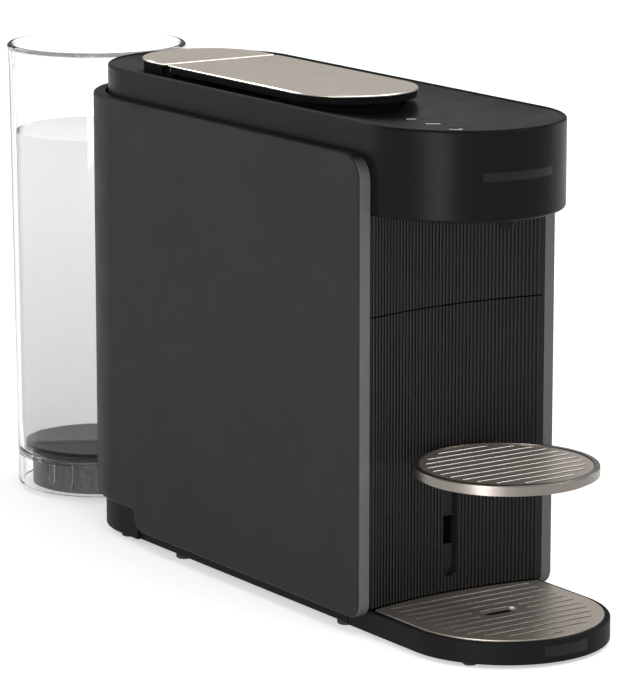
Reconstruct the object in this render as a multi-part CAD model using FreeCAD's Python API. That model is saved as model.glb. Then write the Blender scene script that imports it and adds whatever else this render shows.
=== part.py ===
import FreeCAD, Part
import math
import os

# Pod coffee machine. Millimetres, +Z up. The front faces -Y, the water tank is at +Y.
# The origin is on the floor, under the middle of the whole machine.

Vector = FreeCAD.Vector
UP = Vector(0, 0, 1)
ALONG_X = Vector(1, 0, 0)
ALONG_Y = Vector(0, 1, 0)

# ---------------------------------------------------------------- driving dimensions

WIDTH = 130.0                      # outside of the shell
DEPTH = 532.6                      # drip tray's nose to the tank's back
FIT_GAP = 0.3                      # between the shell and what it wraps
RUNNING = 0.05                     # radial clearance of a running fit
FAR = 400.0                        # longer than anything a cutter has to pass

# Depths, counted back from the shell's front edges.
TRAY_REACH = 100.0                 # the tray stands this far in front of them
SHELL_FRONT = TRAY_REACH - DEPTH / 2

SHELL_R = WIDTH / 2
SHELL_EDGE = 7.0                   # width of the rolled front and top edges
SHELL_FILLET = 1.4
SHELL_SKIN = 2.8
SHELL_CENTRE = SHELL_FRONT + 254.7
SHELL_BOTTOM = 10.2
SHELL_TOP = 262.5
SHELL_STEP = SHELL_FRONT + 232.0   # behind this the lower edge steps up
SHELL_STEP_TOP = 22.5

BODY_R = SHELL_R - SHELL_EDGE - FIT_GAP
HEAD_FRONT = SHELL_FRONT + 1.4     # centres of the head's two round ends
HEAD_REAR = SHELL_FRONT + 252.1
HEAD_BOTTOM = 230.4
HEAD_SIDE_BOTTOM = 250.0
HEAD_TOP = 279.2
HEAD_SKIN = 2.6
DISH_R = BODY_R - 2.2
DISH_BOTTOM = 271.5
DISH_CURVE = 217.0

WALL_CURVE = 241.0                 # radius of the hollow ribbed front
WALL_DEPTH = 7.0                   # how far its middle lies behind the shell's edges
WALL_BACK = SHELL_FRONT + 14.0
RIB_PITCH = 2.3
RIB_HEIGHT = 0.9
RIB_VALLEY = 1.0
SPLIT = 175.0                      # between the fixed panel and the container's front
SPLIT_GAP = 0.8

TRAY_CENTRE = SHELL_FRONT - TRAY_REACH + BODY_R
TRAY_REAR = SHELL_FRONT + 20.0
TRAY_BOTTOM = 2.4
TRAY_TOP = 14.5
GRID_R = 54.5
GRID_TOP = 15.1
GRID_THICK = 2.1
GRID_SKIP = 16.6                   # half the stretch of a row that the finger hole takes

SUPPORT_R = 50.0
SUPPORT_CENTRE = SHELL_FRONT - 44.2
SUPPORT_TOP = 97.5
SUPPORT_BAND = 5.0                 # height of its bright rim
SLOT_PITCH = 7.8
SLOT_WIDTH = 2.0

CONTAINER_BOTTOM = 15.7
CHANNEL_HALF = 5.0
CHANNEL_BOTTOM = 24.0
CHANNEL_DEPTH = 2.4
HOOK_SLOT_HALF = 4.2
HOOK_SLOT_HEIGHT = 15.8
LOW_SLOT = 41.6
HIGH_SLOT = 81.2

BIN_HALF = 46.0
BIN_REAR = SHELL_FRONT + 142.0

BASE_FRONT = TRAY_REAR + 1.0
BASE_BOTTOM = 3.0
BASE_FLOOR = 6.0
BASE_TOP = 25.0
BASE_SILL = 14.6                   # its top where the container slides over it
BASE_REAR_R = 60.0

LEVER_R = 38.0
LEVER_FRONT = SHELL_FRONT + 104.0
LEVER_REAR = SHELL_FRONT + 251.0
LEVER_TOP = 282.3
LEVER_PLATE = 1.4
LEVER_SKIRT_BOTTOM = 277.2
HINGE_Y = SHELL_FRONT + 234.5
HINGE_Z = 278.9
PIN_R = 0.9
KNUCKLE_R = 1.7

BREW_Y = SHELL_FRONT + 110.0       # axis of the spinning capsule holder
MOTOR_Y = BREW_Y + 75.0
HOLDER_PULLEY_R = 20.0
MOTOR_PULLEY_R = 8.0
BREW_OPENING_R = 35.0
OUTLET_Y = SHELL_FRONT - 42.0
DUCT_Z = 240.0

BUTTON_R = 5.2
BUTTON_YS = {"front": SHELL_FRONT + 2.0, "middle": SHELL_FRONT + 22.5, "rear": SHELL_FRONT + 43.0}
BUTTON_BOTTOM = 265.9

TANK_Y = SHELL_FRONT - TRAY_REACH + DEPTH - 54.7
TANK_TOP_R = 54.0
TANK_LIP_R = 54.7
TANK_FOOT_R = 51.4
TANK_WALL = 2.6
TANK_BOTTOM = 3.0
TANK_TOP = 277.0
TANK_FLOOR = 26.0                  # underside of the raised middle
TANK_GUTTER = 21.0                 # underside of the lower ring around it
TANK_STEP_R = 43.4
VALVE_Y = TANK_Y - 26.0
DOCK_R = 42.5
DOCK_TOP = 24.9
NECK_HALF = 20.0
NECK_TOP = 16.0

GLAND_Y = SHELL_CENTRE + 7.3
GLAND_Z = 12.5
GLAND_BORE_R = 3.6
GLAND_START = 52.4

HOSE_R = 3.0
HOSE_BORE_R = 1.6


# ---------------------------------------------------------------- shapes used everywhere

def box(x1, x2, y1, y2, z1, z2):
    return Part.makeBox(x2 - x1, y2 - y1, z2 - z1, Vector(x1, y1, z1))


def disc(r, x, y, z1, z2):
    return Part.makeCylinder(r, z2 - z1, Vector(x, y, z1), UP)


def ring(r_out, r_in, x, y, z1, z2):
    return disc(r_out, x, y, z1, z2).cut(disc(r_in, x, y, z1 - 1, z2 + 1))


def rod_x(r, y, z, x1, x2):
    return Part.makeCylinder(r, x2 - x1, Vector(x1, y, z), ALONG_X)


def rod_y(r, x, z, y1, y2):
    return Part.makeCylinder(r, y2 - y1, Vector(x, y1, z), ALONG_Y)


def join(first, *others):
    return first.fuse(list(others)).removeSplitter()


def prism(edges, z1, z2):
    face = Part.Face(Part.Wire(edges))
    face.translate(Vector(0, 0, z1))
    return face.extrude(Vector(0, 0, z2 - z1))


def line(x1, y1, x2, y2):
    return Part.LineSegment(Vector(x1, y1, 0), Vector(x2, y2, 0)).toShape()


def arc(a, middle, b):
    return Part.Arc(Vector(*a), Vector(*middle), Vector(*b)).toShape()


def stadium(r, y_front, y_rear, z1, z2):
    """Two half-round ends joined by straight sides that run front to back."""
    return prism([
        arc((-r, y_front, 0), (0, y_front - r, 0), (r, y_front, 0)),
        line(r, y_front, r, y_rear),
        arc((r, y_rear, 0), (0, y_rear + r, 0), (-r, y_rear, 0)),
        line(-r, y_rear, -r, y_front),
    ], z1, z2)


def round_nose(r, y_centre, y_back, z1, z2):
    """A half-round front end on straight sides, cut square at the back."""
    return prism([
        arc((-r, y_centre, 0), (0, y_centre - r, 0), (r, y_centre, 0)),
        line(r, y_centre, r, y_back),
        line(r, y_back, -r, y_back),
        line(-r, y_back, -r, y_centre),
    ], z1, z2)


def round_tail(r, y_front, y_centre, z1, z2):
    """Straight sides with a half-round back end, cut square at the front."""
    return prism([
        line(-r, y_front, r, y_front),
        line(r, y_front, r, y_centre),
        arc((r, y_centre, 0), (0, y_centre + r, 0), (-r, y_centre, 0)),
        line(-r, y_centre, -r, y_front),
    ], z1, z2)


def turned(profile, x, y):
    """A solid of revolution about a vertical axis, from (radius, height) corners."""
    corners = [Vector(x + r, y, z) for r, z in profile]
    face = Part.Face(Part.makePolygon(corners + corners[:1]))
    return face.revolve(Vector(x, y, 0), UP, 360)


def long_slot(half, r, x, y, z1, z2):
    """A slot along X with round ends."""
    return join(
        box(x - half, x + half, y - r, y + r, z1, z2),
        disc(r, x - half, y, z1, z2),
        disc(r, x + half, y, z1, z2),
    )


def edges_at(shape, test):
    return [edge for edge in shape.Edges if test(edge.BoundBox)]


def round_top(shape, z, radius):
    level = edges_at(shape, lambda b: abs(b.ZMin - z) < 1e-4 and abs(b.ZMax - z) < 1e-4)
    return shape.makeFillet(radius, level)


def round_uprights(shape, radius):
    upright = edges_at(shape, lambda b: b.ZLength > 5 and b.XLength < 1e-4 and b.YLength < 1e-4)
    return shape.makeFillet(radius, upright)


def bent_tube(corners, bend, r_out, r_in):
    """A tube along straight runs, with an arc of radius bend at every corner."""
    points = [Vector(*corner) for corner in corners]
    edges = []
    start = points[0]
    for before, corner, after in zip(points, points[1:], points[2:]):
        inward = (before - corner).normalize()
        outward = (after - corner).normalize()
        middle = (inward + outward).normalize()
        half_turn = inward.getAngle(outward) / 2
        trim = bend / math.tan(half_turn)
        a = corner + inward * trim
        b = corner + outward * trim
        crown = corner + middle * (bend / math.sin(half_turn) - bend)
        edges.append(Part.LineSegment(start, a).toShape())
        edges.append(Part.Arc(a, crown, b).toShape())
        start = b
    edges.append(Part.LineSegment(start, points[-1]).toShape())
    path = Part.Wire(edges)
    heading = points[1] - points[0]
    solids = []
    for r in (r_out, r_in):
        section = Part.Wire(Part.makeCircle(r, points[0], heading))
        solids.append(path.makePipeShell([section], True, True))
    return solids[0].cut(solids[1])


# ---------------------------------------------------------------- surfaces with a name of their own

def above_dish(drop, reach):
    """Everything above the dished top, lowered by drop, out to a radius of reach."""
    bottom = DISH_BOTTOM - drop
    centre_z = bottom + DISH_CURVE
    edge_z = centre_z - math.sqrt(DISH_CURVE ** 2 - reach ** 2)
    half = reach / 2
    half_z = centre_z - math.sqrt(DISH_CURVE ** 2 - half ** 2)
    lid_z = HEAD_TOP + 20

    def section(y, side):
        edges = [
            arc((0, y, bottom), (side * half, y, half_z), (side * reach, y, edge_z)),
            Part.LineSegment(Vector(side * reach, y, edge_z), Vector(side * reach, y, lid_z)).toShape(),
            Part.LineSegment(Vector(side * reach, y, lid_z), Vector(0, y, lid_z)).toShape(),
            Part.LineSegment(Vector(0, y, lid_z), Vector(0, y, bottom)).toShape(),
        ]
        return Part.Face(Part.Wire(edges))

    run = Vector(0, HEAD_REAR - HEAD_FRONT, 0)
    ends = [section(y, 1).revolve(Vector(0, y, 0), UP, 360) for y in (HEAD_FRONT, HEAD_REAR)]
    sides = [section(HEAD_FRONT, side).extrude(run) for side in (-1, 1)]
    return join(*ends, *sides)


def wall_y(x, offset=0.0):
    """Depth of the hollow front wall at x; offset moves the surface towards the user."""
    centre = SHELL_FRONT + WALL_DEPTH - WALL_CURVE
    return centre + math.sqrt((WALL_CURVE - offset) ** 2 - x ** 2)


def ribbed_slab(z1, z2):
    """A panel with a hollow, finely ribbed front and a flat back."""
    centre = SHELL_FRONT + WALL_DEPTH - WALL_CURVE
    half_turn = math.asin((BODY_R - 1.0) / WALL_CURVE)
    step = RIB_PITCH / WALL_CURVE
    ribs = int(half_turn * 2 / step)
    first = -ribs * step / 2

    def on_wall(turn, offset):
        r = WALL_CURVE - offset
        return Vector(r * math.sin(turn), centre + r * math.cos(turn), 0)

    edges = []
    corner = Vector(-BODY_R, wall_y(BODY_R), 0)
    for k in range(ribs):
        turn = first + k * step
        a = on_wall(turn, 0)
        crest = on_wall(turn + (step - RIB_VALLEY / WALL_CURVE) / 2, RIB_HEIGHT)
        b = on_wall(turn + step - RIB_VALLEY / WALL_CURVE, 0)
        edges.append(Part.LineSegment(corner, a).toShape())
        edges.append(Part.Arc(a, crest, b).toShape())
        corner = b
    right = Vector(BODY_R, wall_y(BODY_R), 0)
    back_right = Vector(BODY_R, WALL_BACK, 0)
    back_left = Vector(-BODY_R, WALL_BACK, 0)
    left = Vector(-BODY_R, wall_y(BODY_R), 0)
    for a, b in ((corner, right), (right, back_right), (back_right, back_left), (back_left, left)):
        edges.append(Part.LineSegment(a, b).toShape())
    return prism(edges, z1, z2)


# ---------------------------------------------------------------- casing

def outer_shell():
    """The dark cover that wraps both sides and the back, with rolled edges."""
    whole = round_tail(SHELL_R, SHELL_FRONT, SHELL_CENTRE, SHELL_BOTTOM, SHELL_TOP)
    top_corner = 14.0
    low_corner = 9.0
    top_block = box(-FAR, FAR, SHELL_FRONT, SHELL_FRONT + top_corner, SHELL_TOP - top_corner, SHELL_TOP)
    low_block = box(-FAR, FAR, SHELL_FRONT, SHELL_FRONT + low_corner, SHELL_BOTTOM, SHELL_BOTTOM + low_corner)
    top_round = rod_x(top_corner, SHELL_FRONT + top_corner, SHELL_TOP - top_corner, -FAR, FAR)
    low_round = rod_x(low_corner, SHELL_FRONT + low_corner, SHELL_BOTTOM + low_corner, -FAR, FAR)
    whole = whole.cut(top_block.cut(top_round)).cut(low_block.cut(low_round))
    whole = whole.cut(shell_step())
    outer = [edge for edge in whole.Edges if on_outline(edge)]
    whole = whole.makeFillet(SHELL_FILLET, outer)
    opening = round_tail(SHELL_R - SHELL_EDGE, SHELL_FRONT - 5, SHELL_CENTRE, 0, FAR)
    pocket = round_tail(SHELL_R - SHELL_SKIN, SHELL_FRONT + 9, SHELL_CENTRE,
                        SHELL_STEP_TOP + SHELL_SKIN, SHELL_TOP - SHELL_SKIN)
    return whole.cut(opening).cut(pocket)


def shell_step():
    """What is missing from the lower edge at the back, where the base shows."""
    low_r = 9.0
    high_r = 3.0
    y = SHELL_STEP
    z = SHELL_BOTTOM
    top = SHELL_STEP_TOP
    slant = math.sqrt(0.5)
    points = [
        (y - low_r, z), (y, z + low_r), (y, top - high_r), (y + high_r, top),
        (FAR, top), (FAR, z - 5), (y - low_r, z - 5),
    ]
    corners = [Vector(-FAR, a, b) for a, b in points]
    low_crown = Vector(-FAR, y - low_r + low_r * slant, z + low_r - low_r * slant)
    high_crown = Vector(-FAR, y + high_r - high_r * slant, top - high_r + high_r * slant)
    edges = [
        Part.Arc(corners[0], low_crown, corners[1]).toShape(),
        Part.LineSegment(corners[1], corners[2]).toShape(),
        Part.Arc(corners[2], high_crown, corners[3]).toShape(),
    ]
    for a, b in zip(corners[3:], corners[4:] + corners[:1]):
        edges.append(Part.LineSegment(a, b).toShape())
    return Part.Face(Part.Wire(edges)).extrude(Vector(2 * FAR, 0, 0))


def on_outline(edge):
    """True for an edge that borders the shell's outside face, seams left out."""
    middle = edge.valueAt((edge.FirstParameter + edge.LastParameter) / 2)
    behind = middle.y - SHELL_CENTRE
    reach = math.hypot(middle.x, behind) if behind > 0 else abs(middle.x)
    seam = abs(behind) < 1e-3 and edge.BoundBox.ZLength > 50
    return abs(reach - SHELL_R) < 1e-3 and not seam


def head_housing():
    """The satin head: a dished top, a side band, and a deeper nose over the cup."""
    outer = join(
        stadium(BODY_R, HEAD_FRONT, HEAD_REAR, HEAD_SIDE_BOTTOM, HEAD_TOP),
        round_nose(BODY_R, HEAD_FRONT, WALL_BACK, HEAD_BOTTOM, HEAD_SIDE_BOTTOM + 1),
    )
    nose_edge = edges_at(outer, lambda b: abs(b.ZMax - HEAD_BOTTOM) < 1e-4 and b.YMin < SHELL_FRONT - 2)
    outer = outer.makeFillet(1.8, nose_edge)
    outer = round_top(outer, HEAD_TOP, 1.6)
    inside = stadium(BODY_R - HEAD_SKIN, HEAD_FRONT, HEAD_REAR, 0, FAR).cut(above_dish(2.5, BODY_R))
    body = outer.cut(above_dish(0, DISH_R)).cut(inside).cut(head_badge())
    body = body.cut(disc(BREW_OPENING_R, 0, BREW_Y, DISH_BOTTOM - 10, FAR))
    for y in BUTTON_YS.values():
        body = body.cut(disc(BUTTON_R + FIT_GAP, 0, y, DISH_BOTTOM - 10, FAR))
    return body


def head_underside():
    """The plate that closes the nose from below, around the coffee outlet."""
    plate = round_nose(BODY_R - HEAD_SKIN - 0.2, HEAD_FRONT, SHELL_FRONT + 4, 231.4, 233.4)
    panel_room = disc(WALL_CURVE + 1, 0, SHELL_FRONT + WALL_DEPTH - WALL_CURVE - 2, 0, FAR)
    return plate.common(panel_room).cut(disc(9.8, 0, OUTLET_Y, 0, FAR))


def upper_front_panel():
    return ribbed_slab(SPLIT + SPLIT_GAP, HEAD_BOTTOM - FIT_GAP)


def badge_strip(centre_y, half_angle, z1, z2):
    """A thin blank plate let flush into a round face."""
    band = ring(BODY_R, BODY_R - 0.6, 0, centre_y, z1, z2)
    half = BODY_R * math.sin(math.radians(half_angle))
    return band.common(box(-half, half, centre_y - FAR, centre_y, z1, z2))


def head_badge():
    return badge_strip(HEAD_FRONT, 23, 252.2, 256.8)


def tray_badge():
    return badge_strip(TRAY_CENTRE, 14, 5.6, 11.6)


# ---------------------------------------------------------------- base and inner frame

def base_frame():
    """The black tray-like base that everything stands on."""
    body = join(
        round_tail(BODY_R, BASE_FRONT, SHELL_CENTRE, BASE_BOTTOM, BASE_TOP),
        round_tail(BASE_REAR_R, SHELL_STEP + 4, SHELL_CENTRE, BASE_BOTTOM, SHELL_STEP_TOP - 0.4),
    )
    body = body.cut(round_tail(BODY_R - 2.5, BASE_FRONT + 2.5, SHELL_CENTRE, BASE_FLOOR, FAR))
    body = body.cut(box(-FAR, FAR, BASE_FRONT - 1, SHELL_FRONT + 150, BASE_SILL, FAR))
    body = body.cut(rod_x(5.6, GLAND_Y, GLAND_Z, 40, FAR))
    body = body.cut(rod_y(3.4, 0, 10.5, SHELL_CENTRE, FAR))
    for x, y in SCREW_PLACES:
        body = body.cut(disc(1.8, x, y, 0, FAR))
        body = body.cut(disc(3.7, x, y, 0, BASE_BOTTOM + 2.1))
    return body


SCREW_PLACES = [(side * 45.5, SHELL_FRONT + y) for y in (160, 255) for side in (-1, 1)]


def case_screws():
    shapes = []
    for x, y in SCREW_PLACES:
        head = disc(3.4, x, y, BASE_BOTTOM + 0.2, BASE_BOTTOM + 2.1)
        drive = box(x - 2, x + 2, y - 0.4, y + 0.4, BASE_BOTTOM, BASE_BOTTOM + 1.0)
        shapes.append(join(head.cut(drive), disc(1.55, x, y, BASE_BOTTOM + 2.1, 16)))
    return Part.makeCompound(shapes)


def rubber_feet():
    places = [(side * 52.5, SHELL_FRONT + y, 4.8) for y in (30, 196, 257) for side in (-1, 1)]
    places += [(side * 26, TANK_Y + 14, 5.0) for side in (-1, 1)]
    shapes = [turned([(0, 0), (r - 0.6, 0), (r, 0.6), (r, BASE_BOTTOM), (0, BASE_BOTTOM)], x, y)
              for x, y, r in places]
    return Part.makeCompound(shapes)


def chassis_frame():
    """Two side walls, a cross wall and a deck that hold the works inside the shell."""
    walls = []
    for side in (-1, 1):
        wall = box(49, 52, SHELL_FRONT + 36, SHELL_FRONT + 266, BASE_FLOOR, 207.8)
        for y in (60, 170, 222):
            wall = wall.cut(box(0, FAR, SHELL_FRONT + y, SHELL_FRONT + y + 34, 55, 150))
        if side < 0:
            wall = wall.mirror(Vector(0, 0, 0), ALONG_X)
        walls.append(wall)
    cross = box(-49, 49, SHELL_FRONT + 150, SHELL_FRONT + 152.5, BASE_FLOOR, 189)
    deck = box(-49, 49, SHELL_FRONT + 150, SHELL_FRONT + 266, 186, 189)
    deck = deck.cut(disc(5, 33, SHELL_FRONT + 192, 0, FAR))
    frame = join(walls[0], walls[1], cross, deck)
    for x, y in SCREW_PLACES:
        frame = join(frame, disc(4.5, x, y, BASE_FLOOR, 18))
        frame = frame.cut(disc(1.6, x, y, 0, 16.5))
    return frame


# ---------------------------------------------------------------- brewing works

def brew_housing():
    """The fixed cup around the spinning holder, on a plate that also holds the motor."""
    plate = box(-52, 52, BREW_Y - 42, MOTOR_Y + 30, 208, 211.5)
    wall = ring(38.5, BREW_OPENING_R + 0.2, 0, BREW_Y, 208, 266)
    body = join(plate, wall)
    body = body.cut(disc(13.05, 0, BREW_Y, 0, 213))
    body = body.cut(disc(4.5, 0, MOTOR_Y, 0, 213))
    body = body.cut(disc(4.5, 33, SHELL_FRONT + 192, 0, 213))
    return body.cut(rod_y(7.0, 0, DUCT_Z, BREW_Y - 60, BREW_Y))


def holder_bearing():
    return ring(13.0, 8.0 + RUNNING, 0, BREW_Y, 208, 215)


def capsule_holder():
    """The cup that carries the capsule and spins with it, on a hollow hub."""
    return turned([
        (3.0, 197.0), (8.0, 197.0), (8.0, 217.0), (20.5, 217.0), (29.5, 250.5), (32.5, 250.5),
        (32.5, 254.5), (27.2, 254.5), (18.6, 220.0), (3.0, 220.0),
    ], 0, BREW_Y)


def pulley(r, bore, y):
    """A flat-belt pulley with a flange above and below."""
    lip = r + 2.0
    return turned([
        (bore, 197.2), (lip, 197.2), (lip, 198.2), (r, 198.2), (r, 204.8),
        (lip, 204.8), (lip, 205.8), (bore, 205.8),
    ], 0, y)


def drive_belt():
    """An open loop round both pulleys, just clear of them."""
    span = MOTOR_Y - BREW_Y
    lean = math.asin((HOLDER_PULLEY_R - MOTOR_PULLEY_R) / span)

    def loop(gap):
        big = HOLDER_PULLEY_R + gap
        small = MOTOR_PULLEY_R + gap
        bx, by = big * math.cos(lean), BREW_Y + big * math.sin(lean)
        sx, sy = small * math.cos(lean), MOTOR_Y + small * math.sin(lean)
        return prism([
            arc((bx, by, 0), (0, BREW_Y - big, 0), (-bx, by, 0)),
            line(-bx, by, -sx, sy),
            arc((-sx, sy, 0), (0, MOTOR_Y + small, 0), (sx, sy, 0)),
            line(sx, sy, bx, by),
        ], 199, 204)

    return loop(1.5).cut(loop(0.3))


def spin_motor():
    can = join(disc(17, 0, MOTOR_Y, 211.5, 250), disc(6, 0, MOTOR_Y, 250, 253))
    return can.cut(disc(2.5 + RUNNING, 0, MOTOR_Y, 0, FAR))


def motor_shaft():
    return disc(2.5, 0, MOTOR_Y, 196.6, 254)


def coffee_duct():
    """Carries the coffee from the brew housing's wall forward to the outlet."""
    run = rod_y(6.5, 0, DUCT_Z, OUTLET_Y, BREW_Y - 36)
    drop = disc(6.5, 0, OUTLET_Y, 234, DUCT_Z + 6.5)
    bore = rod_y(4.5, 0, DUCT_Z, OUTLET_Y, BREW_Y)
    return join(run, drop).cut(bore).cut(disc(4.5, 0, OUTLET_Y, 0, DUCT_Z + 4.5))


def coffee_nozzle():
    """The short spout under the nose, on a flange inside it."""
    return turned([
        (2.6, 225.2), (3.7, 225.2), (4.3, 226.0), (5.2, 230.9), (8.2, 230.9), (9.5, 232.0),
        (9.5, 233.4), (4.5, 233.4),
    ], 0, OUTLET_Y)


def thermoblock():
    """The flow-through heater: a cast block with two hose stubs on top."""
    y = SHELL_FRONT + 165
    block = round_uprights(box(6, 42, y, y + 35, 60, 156), 4.0)
    for k in range(5):
        z = 72 + 16 * k
        block = block.cut(box(0, 9, y - 1, y + 36, z, z + 6))
    stubs = [disc(HOSE_BORE_R, x, dy, 155, 162) for x, dy in ((16, y + 17), (33, y + 27))]
    return join(block, *stubs)


def water_pump():
    """A vibratory pump standing upright: coil body, inlet below, outlet above."""
    x, y = -20.0, SHELL_FRONT + 262
    coil = turned([
        (0, 56), (9, 56), (9, 62), (15, 62), (15, 120), (9, 120), (9, 130), (5, 134), (0, 134),
    ], x, y)
    return join(coil, disc(HOSE_BORE_R, x, y, 48, 57), disc(HOSE_BORE_R, x, y, 133, 142))


def pump_mounts():
    """Two soft rings that hold the pump."""
    x, y = -20.0, SHELL_FRONT + 262
    return Part.makeCompound([ring(18.5, 15.02, x, y, z, z + 6) for z in (66, 110)])


def flow_meter():
    x, y = 24.0, SHELL_FRONT + 262
    body = join(disc(13, x, y, 30, 46), disc(9, x, y, 46, 50))
    inlet = disc(HOSE_BORE_R, x, y, 22, 31)
    outlet = Part.makeCylinder(HOSE_BORE_R, 9, Vector(x - 20, y, 38), ALONG_X)
    return join(body, inlet, outlet)


def hoses():
    """Each hose ends on a stub, whose radius is the hose's bore."""
    y = SHELL_FRONT + 262
    heater = SHELL_FRONT + 165
    return {
        "suction_hose": [(0, SHELL_FRONT + 312, 10.5), (0, SHELL_FRONT + 284, 10.5), (24, y, 10.5),
                         (24, y, 29)],
        "flow_hose": [(10, y, 38), (-20, y, 38), (-20, y, 55)],
        "pressure_hose": [(-20, y, 135), (-20, y, 172), (16, heater + 17, 172), (16, heater + 17, 156.5)],
        "hot_water_hose": [(33, heater + 27, 156.5), (33, heater + 27, 258), (33, HINGE_Y - 8, 258),
                           (33, HINGE_Y - 8, 267)],
    }


def control_board():
    return box(-22, 22, SHELL_FRONT - 8, SHELL_FRONT + 58, 261.8, 263.4)


def button_mat():
    """A soft mat with a dome under each button."""
    mat = box(-10, 10, SHELL_FRONT - 4, SHELL_FRONT + 56, 263.4, 264.2)
    domes = [disc(3.5, 0, y, 264.0, 264.9) for y in BUTTON_YS.values()]
    return join(mat, *domes)


def power_board():
    y = SHELL_FRONT + 160
    board = box(-48.6, -47, y, y + 60, 50, 150)
    parts = [box(-47, -36, y + 8, y + 26, 60, 82), disc(5, -41, y + 44, 58, 84)]
    return Part.makeCompound([board] + parts)


def cord_gland():
    """The inlet for the supply cord, low in the base's right side."""
    body = join(
        rod_x(5.5, GLAND_Y, GLAND_Z, GLAND_START, 61.5),
        rod_x(7.0, GLAND_Y, GLAND_Z, 60.2, 62.2),
    )
    return body.cut(rod_x(GLAND_BORE_R, GLAND_Y, GLAND_Z, 40, FAR))


# ---------------------------------------------------------------- lever and brew lid

def lever_plate():
    """The metal plate that the hand lifts, square at the hinge."""
    return round_nose(LEVER_R, LEVER_FRONT, HINGE_Y - 0.3, LEVER_TOP - LEVER_PLATE, LEVER_TOP)


def lever_frame():
    """The dark tray under the plate, with two ears on the hinge pin."""
    web = LEVER_TOP - LEVER_PLATE
    frame = round_nose(LEVER_R - 0.8, LEVER_FRONT, HINGE_Y - 2.5, LEVER_SKIRT_BOTTOM, web)
    frame = frame.cut(round_nose(LEVER_R - 3.3, LEVER_FRONT, HINGE_Y - 5, 0, web - 1.6))
    for x in (-30, 22):
        ear = box(x, x + 8, HINGE_Y - 5.5, HINGE_Y, HINGE_Z - KNUCKLE_R, HINGE_Z + KNUCKLE_R)
        frame = join(frame, ear, rod_x(KNUCKLE_R, HINGE_Y, HINGE_Z, x, x + 8))
    return frame.cut(rod_x(PIN_R + RUNNING, HINGE_Y, HINGE_Z, -FAR, FAR))


def lever_rear_cover():
    """The fixed half-round cover behind the lever, in the same metal."""
    return round_tail(LEVER_R, HINGE_Y + 2.9, LEVER_REAR, LEVER_TOP - LEVER_PLATE, LEVER_TOP)


def rear_cover_frame():
    """The cover's dark skirt, standing on two posts."""
    web = LEVER_TOP - LEVER_PLATE
    frame = round_tail(LEVER_R - 0.8, HINGE_Y + 7, LEVER_REAR, 275.2, web)
    hollow = disc(LEVER_R - 3.3, 0, LEVER_REAR, 0, web - 1.6)
    frame = frame.cut(hollow.cut(box(-FAR, FAR, 0, HINGE_Y + 9.5, 0, FAR)))
    posts = [disc(3.0, side * 18, LEVER_REAR + 10, 273.2, web) for side in (-1, 1)]
    return join(frame, *posts)


def hinge_brackets(head):
    blocks = []
    for x in (-35.5, 30.3):
        post = box(x, x + 5.2, HINGE_Y - KNUCKLE_R, HINGE_Y + 6.5, DISH_BOTTOM + 1.5, HINGE_Z)
        block = join(post, rod_x(KNUCKLE_R, HINGE_Y, HINGE_Z, x, x + 5.2))
        blocks.append(block.cut(rod_x(PIN_R + 0.02, HINGE_Y, HINGE_Z, -FAR, FAR)).cut(head))
    return Part.makeCompound(blocks)


def hinge_pin():
    return rod_x(PIN_R, HINGE_Y, HINGE_Z, -35.5, 35.5)


def brew_lid():
    """The plug under the lever that closes the brewing chamber."""
    body = disc(32.0, 0, BREW_Y, 262.5, LEVER_TOP - LEVER_PLATE - 1.6)
    body = body.cut(ring(26, 12, 0, BREW_Y, 272, FAR))
    body = body.cut(ring(FAR, 31.2, 0, BREW_Y, 264, 267))
    return body.cut(disc(4.0 + RUNNING, 0, BREW_Y, 0, 272))


def lid_seal():
    return ring(33.0, 31.2, 0, BREW_Y, 264, 267)


def water_needle():
    return turned([(0.5, 250.5), (0.8, 250.5), (1.2, 252), (1.2, 272), (0.5, 272)], 0, BREW_Y)


def spin_clamp():
    """The disc that presses on the capsule and turns with it."""
    return turned([
        (1.7, 256), (27, 256), (27, 255), (28.5, 255), (28.5, 261.5), (4.0, 261.5), (4.0, 271),
        (1.7, 271),
    ], 0, BREW_Y)


def button(y):
    """A round cap, flush with the dish, with a flange that keeps it in its hole."""
    stem = disc(BUTTON_R, 0, y, BUTTON_BOTTOM, HEAD_TOP)
    flange = disc(BUTTON_R + 1.4, 0, y, BUTTON_BOTTOM, 267.2)
    return join(stem, flange).cut(above_dish(0, DISH_R))


# ---------------------------------------------------------------- capsule container

def container_front():
    """The ribbed lower front, with the channel that the cup support hooks into."""
    slab = ribbed_slab(CONTAINER_BOTTOM, SPLIT)
    floor_y = wall_y(0) + CHANNEL_DEPTH
    low = CHANNEL_BOTTOM + CHANNEL_HALF
    high = HIGH_SLOT + HOOK_SLOT_HEIGHT
    channel = join(
        box(-CHANNEL_HALF, CHANNEL_HALF, SHELL_FRONT - 20, floor_y, low, high),
        rod_y(CHANNEL_HALF, 0, low, SHELL_FRONT - 20, floor_y),
    )
    slab = slab.cut(channel)
    for z in (LOW_SLOT, HIGH_SLOT):
        slot = box(-HOOK_SLOT_HALF, HOOK_SLOT_HALF, SHELL_FRONT, FAR, z, z + HOOK_SLOT_HEIGHT)
        slab = slab.cut(slot)
    return slab


def capsule_container():
    """The open bin for used capsules, fixed behind the ribbed front."""
    outer = round_uprights(box(-BIN_HALF, BIN_HALF, WALL_BACK, BIN_REAR, 17.2, 150), 6.0)
    inner = round_uprights(box(-BIN_HALF + 2, BIN_HALF - 2, WALL_BACK + 2, BIN_REAR - 2, 19.2, 152), 4.0)
    return outer.cut(inner)


def front_screws():
    """Short screws from inside the bin into its ribbed front."""
    shapes = []
    for x in (-30, 30):
        for z in (60, 135):
            head = rod_y(2.8, x, z, WALL_BACK + 2, WALL_BACK + 3.8)
            shapes.append(join(head, rod_y(1.4, x, z, WALL_BACK - 4.5, WALL_BACK + 2.5)))
    return shapes


# ---------------------------------------------------------------- cup support and drip tray

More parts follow.
